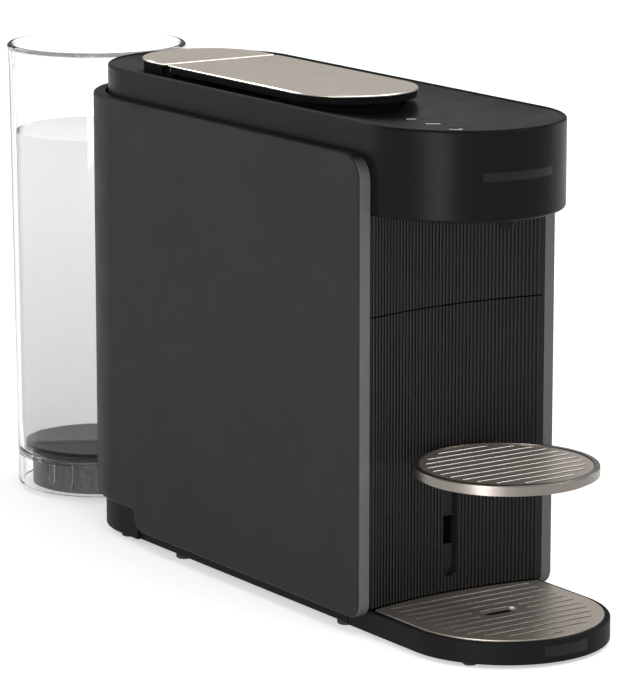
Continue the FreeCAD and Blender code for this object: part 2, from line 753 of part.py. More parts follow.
def slot_rows(rows, reach, z1, z2, skip):
    """Slots along X on a round plate; each row is (y, half length)."""
    cutters = []
    r = SLOT_WIDTH / 2
    for index, (y, half) in enumerate(rows):
        if index in skip:
            run = (half - reach) / 2
            middle = (half + reach) / 2
            cutters += [long_slot(run, r, side * middle, y, z1, z2) for side in (-1, 1)]
        else:
            cutters.append(long_slot(half, r, 0, y, z1, z2))
    return cutters


def cup_support_frame():
    """The round shelf: a bright rim, a recess for its slotted plate, and a hook."""
    y = SUPPORT_CENTRE
    floor_y = wall_y(0) + CHANNEL_DEPTH
    hook_top = SUPPORT_TOP - 2.6
    rim = disc(SUPPORT_R, 0, y, SUPPORT_TOP - SUPPORT_BAND, SUPPORT_TOP)
    rim = round_top(rim, SUPPORT_TOP, 0.8)
    body = join(rim, disc(47.5, 0, y, SUPPORT_TOP - SUPPORT_BAND - 1.3, SUPPORT_TOP - SUPPORT_BAND + 0.4))
    body = body.cut(disc(47.0, 0, y, SUPPORT_TOP - 2.2, FAR))
    body = body.cut(disc(44.0, 0, y, SUPPORT_TOP - 4.4, FAR))
    half = CHANNEL_HALF - 0.4
    hook = box(-half, half, SHELL_FRONT - 2, floor_y - 0.3, HIGH_SLOT, hook_top)
    half = HOOK_SLOT_HALF - 0.3
    tongue = box(-half, half, floor_y - 1, WALL_BACK - 0.5, HIGH_SLOT + 0.4, hook_top)
    return join(body, hook, tongue)


def cup_support_plate():
    y = SUPPORT_CENTRE
    plate = disc(46.7, 0, y, SUPPORT_TOP - 2.1, SUPPORT_TOP - 0.5)
    rows = [(y + k * SLOT_PITCH, math.sqrt(42.0 ** 2 - (k * SLOT_PITCH) ** 2)) for k in range(-5, 6)]
    for cutter in slot_rows(rows, 0, SUPPORT_TOP - 5, FAR, ()):
        plate = plate.cut(cutter)
    return plate


def drip_tray():
    """The black basin that slides in under the container."""
    outer = round_nose(BODY_R, TRAY_CENTRE, TRAY_REAR, TRAY_BOTTOM, TRAY_TOP)
    outer = round_top(outer, TRAY_TOP, 0.8)
    ledge = round_nose(GRID_R + 0.4, TRAY_CENTRE, TRAY_REAR - 2.5, GRID_TOP - GRID_THICK - 0.1, FAR)
    basin = round_nose(GRID_R - 1.6, TRAY_CENTRE, TRAY_REAR - 2.5, TRAY_BOTTOM + 2.4, FAR)
    return outer.cut(ledge).cut(basin).cut(tray_badge())


def tray_feet():
    shapes = [turned([(0, 0), (3.4, 0), (4.0, 0.6), (4.0, TRAY_BOTTOM), (0, TRAY_BOTTOM)],
                     side * 42, TRAY_CENTRE - 28) for side in (-1, 1)]
    return Part.makeCompound(shapes)


def drip_grid():
    """The slotted metal plate on the tray, with a finger hole."""
    z1 = GRID_TOP - GRID_THICK
    plate = round_nose(GRID_R, TRAY_CENTRE, SHELL_FRONT + 20, z1, GRID_TOP)
    wall_centre = SHELL_FRONT + WALL_DEPTH - WALL_CURVE
    plate = plate.common(disc(WALL_CURVE - RIB_HEIGHT - 0.6, 0, wall_centre, 0, FAR))
    rows = []
    for k in range(12):
        y = SHELL_FRONT - 4.4 - k * SLOT_PITCH
        ahead = max(0.0, TRAY_CENTRE - 2.4 - y)
        rows.append((y, math.sqrt((GRID_R - 8.8) ** 2 - ahead ** 2)))
    for cutter in slot_rows(rows, GRID_SKIP, 0, FAR, (4, 5)):
        plate = plate.cut(cutter)
    finger = (rows[4][0] + rows[5][0]) / 2
    return plate.cut(long_slot(7.0, 4.7, 0, finger, 0, FAR))


# ---------------------------------------------------------------- water tank

def tank_body():
    """A clear, tapered vessel; its floor is raised over the dock, and ribs centre its skirt."""
    bore = TANK_FOOT_R - TANK_WALL
    step = TANK_STEP_R + TANK_WALL
    floor = TANK_FLOOR + TANK_WALL
    gutter = TANK_GUTTER + TANK_WALL
    body = turned([
        (0, TANK_FLOOR), (TANK_STEP_R, TANK_FLOOR), (TANK_STEP_R, TANK_GUTTER), (bore, TANK_GUTTER),
        (bore, TANK_BOTTOM), (TANK_FOOT_R - 0.8, TANK_BOTTOM), (TANK_FOOT_R, TANK_BOTTOM + 0.8),
        (TANK_TOP_R - 0.1, TANK_TOP - 11), (TANK_LIP_R - 0.3, TANK_TOP - 10.2),
        (TANK_LIP_R - 0.3, TANK_TOP - 3.6), (TANK_LIP_R, TANK_TOP - 3), (TANK_LIP_R, TANK_TOP - 1),
        (TANK_LIP_R - 1, TANK_TOP), (TANK_TOP_R - TANK_WALL + 0.6, TANK_TOP),
        (TANK_TOP_R - TANK_WALL, TANK_TOP - 1), (bore, gutter + 3), (bore - 1.2, gutter), (step, gutter),
        (step, floor - 1.2), (step - 1.2, floor), (0, floor),
    ], 0, TANK_Y)
    for turn in (-162, -142, -38, -18):
        rib = box(DOCK_R + 1.2, bore + 0.4, -0.5, 0.5, 9, TANK_GUTTER + 0.4)
        rib.rotate(Vector(0, 0, 0), UP, turn)
        rib.translate(Vector(0, TANK_Y, 0))
        body = body.fuse(rib)
    notch = box(-NECK_HALF - 1.5, NECK_HALF + 1.5, TANK_Y - 60, TANK_Y - 35, 0, NECK_TOP + 3)
    return body.cut(notch).cut(disc(7.0, 0, VALVE_Y, 0, 60))


def tank_valve():
    """The spring valve in the tank's floor, with its guide ribs."""
    return turned([
        (0, 25.6), (5.0, 25.6), (6.9, 26.4), (6.9, TANK_FLOOR + 2.7), (10.0, TANK_FLOOR + 2.7),
        (10.0, TANK_FLOOR + 4.2), (3.0, TANK_FLOOR + 4.2), (2.0, TANK_FLOOR + 11), (0, TANK_FLOOR + 11),
    ], 0, VALVE_Y)


def tank_dock():
    """The foot the tank stands over, joined to the base by a neck."""
    foot = disc(DOCK_R, 0, TANK_Y, BASE_BOTTOM, DOCK_TOP)
    foot = round_top(foot, DOCK_TOP, 1.2)
    neck = box(-NECK_HALF, NECK_HALF, SHELL_CENTRE, TANK_Y - 30, BASE_BOTTOM, NECK_TOP)
    neck = neck.cut(round_tail(BASE_REAR_R + 0.05, SHELL_FRONT, SHELL_CENTRE, 0, FAR))
    body = join(foot, neck)
    body = body.cut(disc(9.5, 0, VALVE_Y, 18, FAR))
    body = body.cut(disc(2.2, 0, VALVE_Y, 10.5, FAR))
    return body.cut(rod_y(2.2, 0, 10.5, SHELL_CENTRE, VALVE_Y))


def dock_seal():
    return ring(9.4, 6.0, 0, VALVE_Y, 18, 25.2)


# ---------------------------------------------------------------- files

def export(name, shape):
    shape.exportStep(os.path.join("parts", name + ".step"))


def build():
    os.makedirs("parts", exist_ok=True)
    head = head_housing()
    screws = front_screws()
    bin_with_holes = capsule_container()
    front_with_holes = container_front()
    for screw in screws:
        bin_with_holes = bin_with_holes.cut(screw)
        front_with_holes = front_with_holes.cut(screw)

    nodes = {
        "outer_shell": outer_shell(),
        "head_housing": head,
        "head_underside": head_underside(),
        "upper_front_panel": upper_front_panel(),
        "head_badge_blank": head_badge(),
        "base_frame": base_frame(),
        "case_screws": case_screws(),
        "rubber_feet": rubber_feet(),
        "chassis_frame": chassis_frame(),
        "brew_housing": brew_housing(),
        "holder_bearing": holder_bearing(),
        "capsule_holder": capsule_holder(),
        "holder_pulley": pulley(HOLDER_PULLEY_R, 8.0, BREW_Y),
        "drive_belt": drive_belt(),
        "spin_motor": spin_motor(),
        "motor_shaft": motor_shaft(),
        "motor_pulley": pulley(MOTOR_PULLEY_R, 2.5, MOTOR_Y),
        "coffee_duct": coffee_duct(),
        "coffee_nozzle": coffee_nozzle(),
        "thermoblock": thermoblock(),
        "water_pump": water_pump(),
        "pump_mounts": pump_mounts(),
        "flow_meter": flow_meter(),
        "control_board": control_board(),
        "button_mat": button_mat(),
        "power_board": power_board(),
        "cord_gland": cord_gland(),
        "lever_plate": lever_plate(),
        "lever_frame": lever_frame(),
        "lever_rear_cover": lever_rear_cover(),
        "rear_cover_frame": rear_cover_frame(),
        "hinge_brackets": hinge_brackets(head),
        "hinge_pin": hinge_pin(),
        "brew_lid": brew_lid(),
        "lid_seal": lid_seal(),
        "water_needle": water_needle(),
        "spin_clamp": spin_clamp(),
        "container_front": front_with_holes,
        "capsule_container": bin_with_holes,
        "front_screws": Part.makeCompound(screws),
        "cup_support_frame": cup_support_frame(),
        "cup_support_plate": cup_support_plate(),
        "drip_tray": drip_tray(),
        "tray_feet": tray_feet(),
        "tray_badge_blank": tray_badge(),
        "drip_grid": drip_grid(),
        "tank_body": tank_body(),
        "tank_valve": tank_valve(),
        "tank_dock": tank_dock(),
        "dock_seal": dock_seal(),
    }
    for place, y in BUTTON_YS.items():
        nodes["button_" + place] = button(y)
    for name, corners in hoses().items():
        nodes[name] = bent_tube(corners, 6.5, HOSE_R, HOSE_BORE_R)
    for name, shape in nodes.items():
        export(name, shape)


build()
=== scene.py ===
import math

import bmesh
import bpy
from mathutils import Euler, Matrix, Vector


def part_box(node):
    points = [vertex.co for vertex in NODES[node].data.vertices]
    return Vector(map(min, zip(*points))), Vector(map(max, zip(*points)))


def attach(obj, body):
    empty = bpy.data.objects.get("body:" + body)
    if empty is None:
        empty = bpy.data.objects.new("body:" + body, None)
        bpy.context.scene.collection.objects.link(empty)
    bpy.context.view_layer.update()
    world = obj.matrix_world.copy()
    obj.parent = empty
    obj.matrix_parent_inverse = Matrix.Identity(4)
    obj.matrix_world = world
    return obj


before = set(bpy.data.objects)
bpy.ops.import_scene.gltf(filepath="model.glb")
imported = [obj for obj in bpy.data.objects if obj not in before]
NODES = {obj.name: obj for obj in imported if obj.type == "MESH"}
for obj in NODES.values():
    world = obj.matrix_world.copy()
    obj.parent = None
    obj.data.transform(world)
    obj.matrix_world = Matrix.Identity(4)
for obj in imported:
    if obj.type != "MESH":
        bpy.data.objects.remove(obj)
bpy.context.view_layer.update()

MM = 0.001

# The tank's inside, in the frame's height and from the tank's own axis.
WATER_LEVEL = 224.0 * MM
TANK_RAISED_FLOOR = 28.6 * MM
TANK_RAISED_RADIUS = 46.0 * MM
TANK_GUTTER = 23.6 * MM
TANK_LOW_RADIUS = 48.8 * MM
TANK_LOW_HEIGHT = 26.6 * MM
TANK_HIGH_RADIUS = 51.4 * MM
TANK_HIGH_HEIGHT = 276.0 * MM
TANK_BEAD_HEIGHT = 2.7 * MM
WATER_GAP = 0.12 * MM
WATER_CORNER = 1.2 * MM

# The buttons' tops follow the dish pressed across the head.
DISH_RADIUS = 217.0 * MM
DISH_FLOOR = 271.5 * MM
ICON_CLEARANCE = 0.03 * MM
ICON_LIFT = 0.08 * MM

# The middle part of a noise texture's output, where nearly all of it lies.
NOISE_LOW = 0.3
NOISE_HIGH = 0.7

# Edges bent by more than this stay sharp, and get rounded where the node is rounded.
SHARP_ANGLE = math.radians(38)
FLAT_ANGLE = math.radians(0.2)
WELD_DISTANCE = 0.002 * MM

FLOOR_RADIUS = 14.0
FLOOR_GLOW = 0.43
SKY_STRENGTH = (0.27, 0.42)
SUN_STRENGTH = 1.4
SUN_WIDTH = math.radians(75)
SUN_PLACE = (0.9, -1.3, 2.6)
MIDDLE = (0, 0, 0.2)
# Name, place, target, width, height and power of each softbox and small card.
SOFTBOXES = [
    ("strip_left", (-1.7, -0.95, 0.5), MIDDLE, 0.3, 1.1, 20),
    ("strip_rear_left", (-1.3, 1.9, 0.7), MIDDLE, 0.4, 1.3, 8),
    ("panel_right", (2.2, 0.1, 0.65), MIDDLE, 0.5, 1.2, 5),
    ("panel_front_right", (1.25, -1.85, 0.75), MIDDLE, 0.45, 0.6, 7),
    ("panel_behind", (1.7, 2.6, 1.5), MIDDLE, 1.6, 0.9, 2.5),
    ("panel_over_back", (-0.5, 2.5, 1.9), MIDDLE, 0.7, 0.7, 11),
    ("card_over", (0.95, -0.55, 1.45), (0, -0.2, 0.05), 0.45, 0.45, 1.2),
    ("card_head", (-0.75, -0.74, 0.09), (-0.03, -0.2, 0.25), 0.24, 0.3, 3.6),
    ("card_rim", (-0.3145, -0.359, 0.045), (-0.0385, -0.2424, 0.095), 0.08, 0.09, 0.2),
]

CAMERA_PLACE = (-1.20556, -1.82250, 0.58726)
CAMERA_PITCH = math.radians(11.874)
CAMERA_HEADING = math.radians(33.854)
CAMERA_LENS = 205.74
CAMERA_SENSOR = 36.0


# ---------------------------------------------------------------- node helpers

class Tree:
    """A small wrapper that adds shader nodes and links them by name."""

    def __init__(self, tree):
        self.tree = tree
        self.tree.nodes.clear()

    def add(self, kind, **settings):
        node = self.tree.nodes.new(kind)
        for name, value in settings.items():
            setattr(node, name, value)
        return node

    def link(self, source, target):
        self.tree.links.new(source, target)

    def coordinates(self):
        return self.add("ShaderNodeTexCoord").outputs["Object"]

    def stretched(self, source, scale):
        node = self.add("ShaderNodeMapping")
        node.inputs["Scale"].default_value = scale
        self.link(source, node.inputs["Vector"])
        return node.outputs["Vector"]

    def noise(self, source, scale, detail=2.0, roughness=0.5):
        node = self.add("ShaderNodeTexNoise")
        node.inputs["Scale"].default_value = scale
        node.inputs["Detail"].default_value = detail
        node.inputs["Roughness"].default_value = roughness
        self.link(source, node.inputs["Vector"])
        return node.outputs["Fac"]

    def cells(self, source, scale):
        node = self.add("ShaderNodeTexVoronoi", feature="SMOOTH_F1")
        node.inputs["Scale"].default_value = scale
        self.link(source, node.inputs["Vector"])
        return node.outputs["Distance"]

    def axes(self, source):
        """The X, Y and Z of a vector, by name."""
        node = self.add("ShaderNodeSeparateXYZ")
        self.link(source, node.inputs["Vector"])
        return node.outputs

    def product(self, first, second):
        node = self.add("ShaderNodeMath", operation="MULTIPLY")
        self.link(first, node.inputs[0])
        self.link(second, node.inputs[1])
        return node.outputs["Value"]

    def ramp(self, value, start, end, low=0.0, high=1.0):
        """Runs from low to high as value goes from start to end."""
        node = self.add("ShaderNodeMapRange")
        node.inputs["From Min"].default_value = start
        node.inputs["From Max"].default_value = end
        node.inputs["To Min"].default_value = low
        node.inputs["To Max"].default_value = high
        self.link(value, node.inputs["Value"])
        return node.outputs["Result"]

    def spread(self, value, low, high):
        """Maps the middle of a noise to the range low to high."""
        return self.ramp(value, NOISE_LOW, NOISE_HIGH, low, high)

    def blend(self, factor, first, second):
        """Mixes two colours, each given as numbers or as a socket."""
        node = self.add("ShaderNodeMix", data_type="RGBA")
        factor_in, first_in, second_in = [x for x in node.inputs if x.enabled]
        self.link(factor, factor_in)
        for value, target in ((first, first_in), (second, second_in)):
            if isinstance(value, bpy.types.NodeSocket):
                self.link(value, target)
            else:
                target.default_value = (*value, 1)
        return next(x for x in node.outputs if x.enabled)

    def bump(self, height, strength, distance, normal=None):
        node = self.add("ShaderNodeBump")
        node.inputs["Strength"].default_value = strength
        node.inputs["Distance"].default_value = distance
        self.link(height, node.inputs["Height"])
        if normal is not None:
            self.link(normal, node.inputs["Normal"])
        return node.outputs["Normal"]

    def surface(self, **values):
        shader = self.add("ShaderNodeBsdfPrincipled")
        for name, value in values.items():
            socket = shader.inputs[name.replace("_", " ")]
            if isinstance(value, bpy.types.NodeSocket):
                self.link(value, socket)
            else:
                socket.default_value = value
        out = self.add("ShaderNodeOutputMaterial")
        self.link(shader.outputs["BSDF"], out.inputs["Surface"])
        return shader


def new_material(name):
    material = bpy.data.materials.new(name)
    material.use_nodes = True
    return material, Tree(material.node_tree)


def tint(colour, factor):
    return tuple(min(1.0, c * factor) for c in colour)


def moulded(name, colour, roughness, grain, depth, specular, painted_highlight=None):
    """Moulded plastic: a spark-eroded grain in millimetres, with faint flow clouds.

    The optional mask and colour paint a lighter highlight over the part of the surface that the mask
    marks.
    """
    material, t = new_material(name)
    place = t.coordinates()
    fine = t.noise(place, 1 / (grain * MM), detail=3.0, roughness=0.6)
    clouds = t.noise(place, 14.0, detail=3.0)
    rub = t.noise(place, 60.0, detail=4.0, roughness=0.6)
    shade = t.blend(t.spread(clouds, 0, 1), tint(colour, 0.92), tint(colour, 1.08))
    # Paints a lighter highlight colour where the mask marks.
    if painted_highlight:
        mask, highlight_colour = painted_highlight
        shade = t.blend(mask(t, place), shade, highlight_colour)
    t.surface(
        Base_Color=shade,
        Roughness=t.spread(rub, roughness - 0.035, roughness + 0.035),
        Specular_IOR_Level=specular,
        Normal=t.bump(fine, depth, 0.06 * MM),
    )
    return material


def painted_front_highlight(t, place):
    """1 on the shell's narrow front face, where a lighter highlight is painted, fading out round its
    top and bottom corners.
    """
    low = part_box("outer_shell")[0]
    axes = t.axes(place)
    width = t.add("ShaderNodeMath", operation="ABSOLUTE")
    t.link(axes["X"], width.inputs[0])
    ahead = t.ramp(axes["Y"], low.y + 8 * MM, low.y + 0.5 * MM)
    inside = t.ramp(width.outputs["Value"], -low.x - 0.4 * MM, -low.x - 1.0 * MM)
    return t.product(ahead, inside)


def brushed(name, colour, roughness, direction=(1, 40, 40), depth=0.12):
    """Metal with fine brush lines along one axis and a soft, uneven finish."""
    material, t = new_material(name)
    place = t.coordinates()
    strokes = t.noise(t.stretched(place, direction), 100.0, detail=4.0, roughness=0.7)
    speckle = t.noise(place, 5200.0, detail=2.0)
    clouds = t.noise(place, 22.0, detail=3.0)
    shade = t.blend(t.spread(clouds, 0, 1), tint(colour, 0.94), tint(colour, 1.05))
    first = t.bump(strokes, depth, 0.03 * MM)
    t.surface(
        Base_Color=shade,
        Metallic=1.0,
        Roughness=t.spread(strokes, roughness - 0.05, roughness + 0.05),
        Normal=t.bump(speckle, depth, 0.02 * MM, first),
    )
    return material


def polished(name, colour, roughness):
    """The cut and polished edge of a metal sheet."""
    material, t = new_material(name)
    place = t.coordinates()
    lines = t.noise(t.stretched(place, (1, 1, 30)), 300.0, detail=3.0)
    t.surface(
        Base_Color=t.blend(t.spread(lines, 0, 1), tint(colour, 0.95), tint(colour, 1.03)),
        Metallic=1.0,
        Roughness=t.spread(lines, roughness - 0.02, roughness + 0.02),
    )
    return material


def rubber(name, colour, roughness=0.75):
    material, t = new_material(name)
    place = t.coordinates()
    pores = t.cells(place, 2600.0)
    dust = t.noise(place, 160.0, detail=4.0)
    t.surface(
        Base_Color=t.blend(t.spread(dust, 0, 1), tint(colour, 0.85), tint(colour, 1.2)),
        Roughness=t.spread(dust, roughness - 0.06, roughness + 0.06),
        Specular_IOR_Level=0.3,
        Normal=t.bump(pores, 0.2, 0.08 * MM),
    )
    return material


def cast(name, colour):
    """Die-cast metal with an orange-peel skin."""
    material, t = new_material(name)
    place = t.coordinates()
    skin = t.noise(place, 900.0, detail=5.0, roughness=0.65)
    t.surface(
        Base_Color=t.blend(t.spread(skin, 0, 1), tint(colour, 0.8), tint(colour, 1.08)),
        Metallic=1.0,
        Roughness=t.spread(skin, 0.38, 0.55),
        Normal=t.bump(skin, 0.4, 0.12 * MM),
    )
    return material


def board():
    """A coated circuit board with a hint of the weave under the lacquer."""
    material, t = new_material("circuit_board")
    place = t.coordinates()
    weave = t.cells(place, 1400.0)
    t.surface(
        Base_Color=t.blend(weave, (0.008, 0.09, 0.035), (0.02, 0.17, 0.07)),
        Roughness=t.spread(weave, 0.25, 0.36),
        Normal=t.bump(weave, 0.15, 0.04 * MM),
    )
    return material


def tank_rim_painted_shade(t, place):
    """1 on the outside of the tank's thick bead, where a dark band is painted as shade, 0 on the
    walls and on the inside.
    """
    low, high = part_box("tank_body")
    centre = (low + high) / 2
    bead_foot = high.z - TANK_BEAD_HEIGHT
    bead = t.ramp(t.axes(place)["Z"], bead_foot, bead_foot + 0.3 * MM)
    offset = t.add("ShaderNodeVectorMath", operation="SUBTRACT")
    offset.inputs[1].default_value = (centre.x, centre.y, high.z)
    t.link(place, offset.inputs[0])
    outward = t.add("ShaderNodeVectorMath", operation="NORMALIZE")
    t.link(offset.outputs["Vector"], outward.inputs[0])
    facing = t.add("ShaderNodeVectorMath", operation="DOT_PRODUCT")
    t.link(outward.outputs["Vector"], facing.inputs[0])
    t.link(t.add("ShaderNodeNewGeometry").outputs["Normal"], facing.inputs[1])
    return t.product(bead, t.ramp(facing.outputs["Value"], 0.3, 0.5))


def clear_plastic():
    """The tank's clear copolyester: greyer where the wall is seen edge-on, as thick plastic is, and
    with a painted dark shade band on the outside of the rim bead.
    """
    material, t = new_material("tank_clear")
    place = t.coordinates()
    waves = t.noise(t.stretched(place, (30, 30, 6)), 1.0, detail=2.0)
    edge = t.add("ShaderNodeLayerWeight")
    edge.inputs["Blend"].default_value = 0.5
    edge_on = t.ramp(edge.outputs["Facing"], 0.6, 0.93)
    wall = t.blend(edge_on, (0.975, 0.975, 0.975), (0.06, 0.061, 0.062))
    t.surface(
        # The darker grey on the rim bead is painted shade.
        Base_Color=t.blend(tank_rim_painted_shade(t, place), wall, (0.26, 0.262, 0.265)),
        Roughness=t.spread(waves, 0.0, 0.03),
        Transmission_Weight=1.0,
        IOR=1.2,
        Normal=t.bump(waves, 0.08, 0.2 * MM),
    )
    return material


def water_material():
    """Water painted darker towards the tank's floor as shade, with a lighter painted highlight band
    just under its level.
    """
    material, t = new_material("water")
    place = t.coordinates()
    height = t.axes(place)["Z"]
    ripple = t.noise(place, 40.0, detail=2.0)
    # Painted shade: the water is darker towards the tank's floor.
    floor_shade_ramp = t.ramp(height, 30 * MM, 190 * MM)
    body = t.blend(floor_shade_ramp, (0.48, 0.482, 0.485), (0.67, 0.674, 0.676))
    # A painted highlight: a lighter band just under the water level.
    top = t.ramp(height, WATER_LEVEL - 0.6 * MM, WATER_LEVEL - 0.2 * MM)
    t.surface(
        Base_Color=t.blend(top, body, (0.86, 0.86, 0.862)),
        Roughness=0.0,
        Transmission_Weight=1.0,
        IOR=1.03,
        Normal=t.bump(ripple, 0.03, 0.3 * MM),
    )
    return material


def icon_material():
    material, t = new_material("icon_print")
    place = t.coordinates()
    ink = t.noise(place, 3000.0, detail=2.0)
    t.surface(
        Base_Color=t.blend(ink, (0.78, 0.78, 0.78), (0.9, 0.9, 0.9)),
        Roughness=0.45,
        # A painted glow: the print gives off a little light of its own so it stays white.
        Emission_Color=(1, 1, 1, 1),
        Emission_Strength=0.25,
    )
    return material


CHAMPAGNE = (0.67, 0.595, 0.515)
GRID_BROWN = (0.6, 0.535, 0.47)
RIM_METAL = (0.2, 0.181, 0.163)

SHELL_BLACK = (0.0108, 0.0108, 0.011)
# A painted highlight: the lighter colour painted on the shell's narrow front face.
SHELL_FRONT_HIGHLIGHT = (0.08, 0.08, 0.081)
HEAD_BLACK = (0.0045, 0.0045, 0.0048)
RIB_BLACK = (0.0068, 0.0067, 0.0064)
BASE_BLACK = (0.0055, 0.0055, 0.0057)
WORKS_BLACK = (0.02, 0.02, 0.021)
BADGE_BLACK = (0.0065, 0.0065, 0.0068)
DOCK_GREY = (0.06, 0.06, 0.061)
EDGE_SHINE = (0.97, 0.94, 0.89)

# One material for each slot of the CAD nodes. Grain is in millimetres.
MATERIALS = {
    # The shell plastic carries a painted highlight on its narrow front face.
    "shell_plastic": moulded("shell_plastic", SHELL_BLACK, 0.5, grain=0.45, depth=0.3, specular=0.09,
                             painted_highlight=(painted_front_highlight, SHELL_FRONT_HIGHLIGHT)),
    "head_plastic": moulded("head_plastic", HEAD_BLACK, 0.34, grain=0.3, depth=0.1, specular=0.05),
    "rib_plastic": moulded("rib_plastic", RIB_BLACK, 0.4, grain=0.3, depth=0.15, specular=0.15),
    "base_plastic": moulded("base_plastic", BASE_BLACK, 0.52, grain=0.3, depth=0.12, specular=0.05),
    "works_plastic": moulded("works_plastic", WORKS_BLACK, 0.5, grain=0.6, depth=0.2, specular=0.3),
    "lever_metal": brushed("lever_metal", CHAMPAGNE, 0.4),
    "support_metal": brushed("support_metal", RIM_METAL, 0.34, direction=(4, 4, 40), depth=0.05),
    "grid_metal": brushed("grid_metal", GRID_BROWN, 0.42),
    "badge_metal": moulded("badge_metal", BADGE_BLACK, 0.25, grain=0.2, depth=0.06, specular=0.13),
    "steel": brushed("steel", (0.55, 0.55, 0.56), 0.28, direction=(20, 20, 4)),
    "motor_steel": brushed("motor_steel", (0.42, 0.43, 0.44), 0.34, direction=(4, 4, 40)),
    "cast_aluminium": cast("cast_aluminium", (0.6, 0.61, 0.62)),
    "foot_rubber": rubber("foot_rubber", (0.012, 0.012, 0.012)),
    "belt_rubber": rubber("belt_rubber", (0.015, 0.015, 0.015), 0.65),
    "hose_silicone": rubber("hose_silicone", (0.62, 0.63, 0.62), 0.45),
    "circuit_board": board(),
    "tank_clear": clear_plastic(),
}
# Nodes whose own finish differs from their slot's.
OWN_FINISH = {
    "tank_dock": moulded("dock_plastic", DOCK_GREY, 0.45, grain=0.4, depth=0.2, specular=0.3),
}
EDGE_METAL = polished("edge_metal", EDGE_SHINE, 0.26)
WATER = water_material()
ICON = icon_material()


# ---------------------------------------------------------------- CAD nodes

def smooth_by_angle():
    """Geometry nodes that shade smooth but keep edges sharper than the given angle."""
    group = bpy.data.node_groups.new("smooth_by_angle", "GeometryNodeTree")
    group.interface.new_socket("Geometry", in_out="INPUT", socket_type="NodeSocketGeometry")
    group.interface.new_socket("Geometry", in_out="OUTPUT", socket_type="NodeSocketGeometry")
    nodes = group.nodes
    start = nodes.new("NodeGroupInput")
    end = nodes.new("NodeGroupOutput")
    angle = nodes.new("GeometryNodeInputMeshEdgeAngle")
    sharp = nodes.new("FunctionNodeCompare")
    sharp.inputs["B"].default_value = SHARP_ANGLE
    smooth = nodes.new("GeometryNodeSetShadeSmooth")
    smooth.domain = "FACE"
    crease = nodes.new("GeometryNodeSetShadeSmooth")
    crease.domain = "EDGE"
    crease.inputs["Shade Smooth"].default_value = False
    links = group.links
    links.new(start.outputs["Geometry"], smooth.inputs["Geometry"])
    links.new(smooth.outputs["Geometry"], crease.inputs["Geometry"])
    links.new(angle.outputs["Unsigned Angle"], sharp.inputs["A"])
    links.new(sharp.outputs["Result"], crease.inputs["Selection"])
    links.new(crease.outputs["Geometry"], end.inputs["Geometry"])
    return group


SMOOTHING = smooth_by_angle()

# Edge rounding in millimetres for the nodes that show. The others keep their CAD edges.
EDGE_ROUNDING = {
    "outer_shell": 0.35,
    "head_housing": 0.35,
    "head_underside": 0.3,
    "base_frame": 0.4,
    "lever_plate": 0.5,
    "lever_rear_cover": 0.5,
    "lever_frame": 0.25,
    "rear_cover_frame": 0.25,
    "hinge_brackets": 0.3,
    "cup_support_frame": 0.25,
    "cup_support_plate": 0.5,
    "drip_tray": 0.3,
    "drip_grid": 0.5,
    "tank_body": 0.35,
    "tank_dock": 0.4,
    "tank_valve": 0.3,
    "capsule_container": 0.3,
    "brew_lid": 0.4,
    "brew_housing": 0.3,
    "button_front": 0.2,
    "button_middle": 0.2,
    "button_rear": 0.2,
}
# Metal sheets whose edges are polished in one flat facet.
BRIGHT_EDGES = (
    "lever_plate", "lever_rear_cover", "cup_support_frame", "cup_support_plate", "drip_grid",
)


def finish_node(name, obj):
    """Gives a CAD node its material, rounded edges where it has them, and smooth shading."""
    mesh = obj.data
    slot = mesh.materials[0].name.split(".")[0]
    mesh.materials[0] = OWN_FINISH.get(name, MATERIALS[slot])
    if "custom_normal" in mesh.attributes:
        mesh.attributes.remove(mesh.attributes["custom_normal"])
    weld = obj.modifiers.new("weld", "WELD")
    weld.merge_threshold = WELD_DISTANCE
    if name in EDGE_ROUNDING:
        flat = obj.modifiers.new("flat_faces", "DECIMATE")
        flat.decimate_type = "DISSOLVE"
        flat.angle_limit = FLAT_ANGLE
        bevel = obj.modifiers.new("edge_rounding", "BEVEL")
        bevel.width = EDGE_ROUNDING[name] * MM
        bevel.segments = 1 if name in BRIGHT_EDGES else 2
        bevel.limit_method = "ANGLE"
        bevel.angle_limit = SHARP_ANGLE
        if name in BRIGHT_EDGES:
            mesh.materials.append(EDGE_METAL)
            bevel.material = 1
    shading = obj.modifiers.new("shading", "NODES")
    shading.node_group = SMOOTHING
    if name in EDGE_ROUNDING:
        weighted = obj.modifiers.new("weighted_normals", "WEIGHTED_NORMAL")
        weighted.keep_sharp = True


for node_name, node in NODES.items():
    finish_node(node_name, node)


# ---------------------------------------------------------------- pieces made here

def piece(name, mesh, body, material):
    """Adds a smooth mesh that rides on one body."""
    obj = bpy.data.objects.new(name, mesh)
    bpy.context.scene.collection.objects.link(obj)
    obj.data.materials.append(material)
    for polygon in obj.data.polygons:
        polygon.use_smooth = True
    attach(obj, body)


def turned_mesh(name, profile, centre, steps=96):
    """A closed surface of revolution from (radius, height) points, in metres."""
    mesh = bmesh.new()
    rings = []
    for radius, height in profile:
        if radius < 1e-6:
            rings.append([mesh.verts.new((centre.x, centre.y, height))])
            continue
        ring = []
        for k in range(steps):
            turn = 2 * math.pi * k / steps
            ring.append(mesh.verts.new((centre.x + radius * math.cos(turn),
                                        centre.y + radius * math.sin(turn), height)))
        rings.append(ring)
    for low, high in zip(rings, rings[1:]):
        for k in range(steps):
            j = (k + 1) % steps
            if len(low) == 1:
                mesh.faces.new((low[0], high[j], high[k]))
            elif len(high) == 1:
                mesh.faces.new((low[k], low[j], high[0]))
            else:
                mesh.faces.new((low[k], low[j], high[j], high[k]))
    bmesh.ops.recalc_face_normals(mesh, faces=mesh.faces)
    data = bpy.data.meshes.new(name)
    mesh.to_mesh(data)
    mesh.free()
    return data


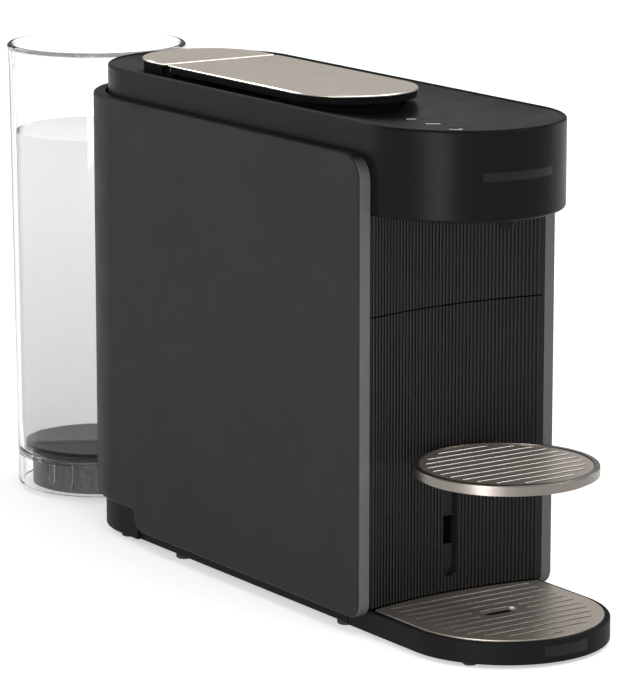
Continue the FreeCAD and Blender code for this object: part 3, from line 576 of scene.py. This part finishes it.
def make_water():
    """Fills the tank to its level, just clear of the walls, the raised floor and the gutter."""
    low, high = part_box("tank_body")
    centre = (low + high) / 2
    slope = (TANK_HIGH_RADIUS - TANK_LOW_RADIUS) / (TANK_HIGH_HEIGHT - TANK_LOW_HEIGHT)
    floor = TANK_RAISED_FLOOR + WATER_GAP
    step = TANK_RAISED_RADIUS + WATER_GAP
    gutter = TANK_GUTTER + WATER_GAP
    foot = TANK_LOW_RADIUS - WATER_GAP
    wall = foot + (WATER_LEVEL - TANK_LOW_HEIGHT) * slope
    profile = [
        (0, floor),
        (TANK_RAISED_RADIUS - WATER_CORNER, floor),
        (step, TANK_RAISED_FLOOR - WATER_CORNER),
        (step, gutter),
        (foot - WATER_CORNER, gutter),
        (foot, TANK_LOW_HEIGHT),
        (wall, WATER_LEVEL - WATER_CORNER),
        (wall - 0.25 * MM, WATER_LEVEL - 0.7 * MM),
        (wall - WATER_CORNER, WATER_LEVEL - 0.15 * MM),
        (wall - 2.5 * MM, WATER_LEVEL),
        (0, WATER_LEVEL),
    ]
    piece("tank_water", turned_mesh("tank_water", profile, centre), "tank", WATER)


make_water()


def stroke_mesh(name, points, width, lift):
    """A raised flat stroke along points, with round ends and a softened top."""
    curve = bpy.data.curves.new(name + "_path", "CURVE")
    curve.dimensions = "3D"
    curve.bevel_depth = width / 2
    curve.bevel_resolution = 3
    curve.use_fill_caps = True
    spline = curve.splines.new("NURBS")
    spline.points.add(len(points) - 1)
    for target, point in zip(spline.points, points):
        target.co = (*point, 1)
    spline.order_u = 3
    spline.use_endpoint_u = True
    holder = bpy.data.objects.new(name + "_path", curve)
    data = bpy.data.meshes.new_from_object(holder)
    base = sum(p[2] for p in points) / len(points)
    for vertex in data.vertices:
        vertex.co.z = base + (vertex.co.z - base) * lift / (width / 2)
    bpy.data.objects.remove(holder)
    bpy.data.curves.remove(curve)
    return data


def on_button(name, offsets):
    """Points on a button's hollow top, from (x, y) offsets in millimetres off its middle."""
    low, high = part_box(name)
    centre = (low + high) / 2
    points = []
    for x, y in offsets:
        rise = (x * MM) ** 2 / (2 * DISH_RADIUS)
        height = DISH_FLOOR + rise + ICON_CLEARANCE
        points.append((centre.x + x * MM, centre.y + y * MM, height))
    return points


def make_icons():
    """Generic marks: a dash, a wave and a curve with a thick end."""
    dash = [(-3.2, 1.8), (-1.0, 0.6), (1.2, -0.6)]
    wave = [
        (-4.4, 2.6), (-3.4, 2.7), (-2.3, 1.0), (-1.1, 0.9), (0.1, 0.4), (1.1, -1.2), (2.2, -1.5),
    ]
    curve = [(-4.6, 1.4), (-4.4, -0.6), (-3.0, -2.2), (-1.2, -3.0), (0.8, -3.0)]
    end = [(-0.6, -2.2), (0.9, -2.9)]
    icons = {"rear": [(dash, 0.9)], "middle": [(wave, 0.9)], "front": [(curve, 0.7), (end, 1.3)]}
    for place, strokes in icons.items():
        for k, (stroke, width) in enumerate(strokes):
            name = f"icon_{place}_{k}"
            points = on_button("button_" + place, stroke)
            mesh = stroke_mesh(name, points, width * MM, ICON_LIFT)
            piece(name, mesh, place + "_button", ICON)


make_icons()


# ---------------------------------------------------------------- room, light and camera

def make_floor():
    mesh = bmesh.new()
    bmesh.ops.create_circle(mesh, cap_ends=True, segments=64, radius=FLOOR_RADIUS)
    data = bpy.data.meshes.new("floor")
    mesh.to_mesh(data)
    mesh.free()
    material, t = new_material("floor_paint")
    place = t.coordinates()
    drift = t.noise(place, 0.6, detail=2.0)
    t.surface(
        Base_Color=t.blend(drift, (0.83, 0.83, 0.83), (0.86, 0.86, 0.86)),
        Roughness=0.9,
        Specular_IOR_Level=0.1,
        Emission_Color=(1, 1, 1, 1),
        Emission_Strength=FLOOR_GLOW,
    )
    data.materials.append(material)
    floor = bpy.data.objects.new("floor", data)
    bpy.context.scene.collection.objects.link(floor)


def make_world():
    """A plain studio dome, dimmer towards the horizon."""
    world = bpy.data.worlds.new("studio")
    bpy.context.scene.world = world
    world.use_nodes = True
    t = Tree(world.node_tree)
    direction = t.add("ShaderNodeTexCoord").outputs["Generated"]
    strength = t.ramp(t.axes(direction)["Z"], 0.1, 0.8, *SKY_STRENGTH)
    sky = t.add("ShaderNodeBackground")
    sky.inputs["Color"].default_value = (1, 1, 1, 1)
    t.link(strength, sky.inputs["Strength"])
    out = t.add("ShaderNodeOutputWorld")
    t.link(sky.outputs["Background"], out.inputs["Surface"])


def aim(obj, target):
    obj.rotation_euler = (Vector(target) - obj.location).to_track_quat("-Z", "Y").to_euler()


def softbox(name, place, target, width, height, power):
    light = bpy.data.lights.new(name, "AREA")
    light.shape = "RECTANGLE"
    light.size = width
    light.size_y = height
    light.energy = power
    obj = bpy.data.objects.new(name, light)
    bpy.context.scene.collection.objects.link(obj)
    obj.location = place
    obj.visible_camera = False
    aim(obj, target)


def make_lights():
    """A broad key from above the front right, softboxes for the edges, and small cards close by."""
    key = bpy.data.lights.new("key", "SUN")
    key.energy = SUN_STRENGTH
    key.angle = SUN_WIDTH
    obj = bpy.data.objects.new("key", key)
    bpy.context.scene.collection.objects.link(obj)
    obj.location = SUN_PLACE
    aim(obj, (0, 0, 0))
    for settings in SOFTBOXES:
        softbox(*settings)


def make_camera():
    camera = bpy.data.cameras.new("camera")
    camera.sensor_width = CAMERA_SENSOR
    camera.lens = CAMERA_LENS
    camera.clip_start = 0.05
    camera.clip_end = 60.0
    obj = bpy.data.objects.new("camera", camera)
    bpy.context.scene.collection.objects.link(obj)
    obj.location = CAMERA_PLACE
    obj.rotation_euler = Euler((math.pi / 2 - CAMERA_PITCH, 0, -CAMERA_HEADING))
    bpy.context.scene.camera = obj


make_floor()
make_world()
make_lights()
make_camera()
bpy.context.scene.view_settings.view_transform = "Standard"
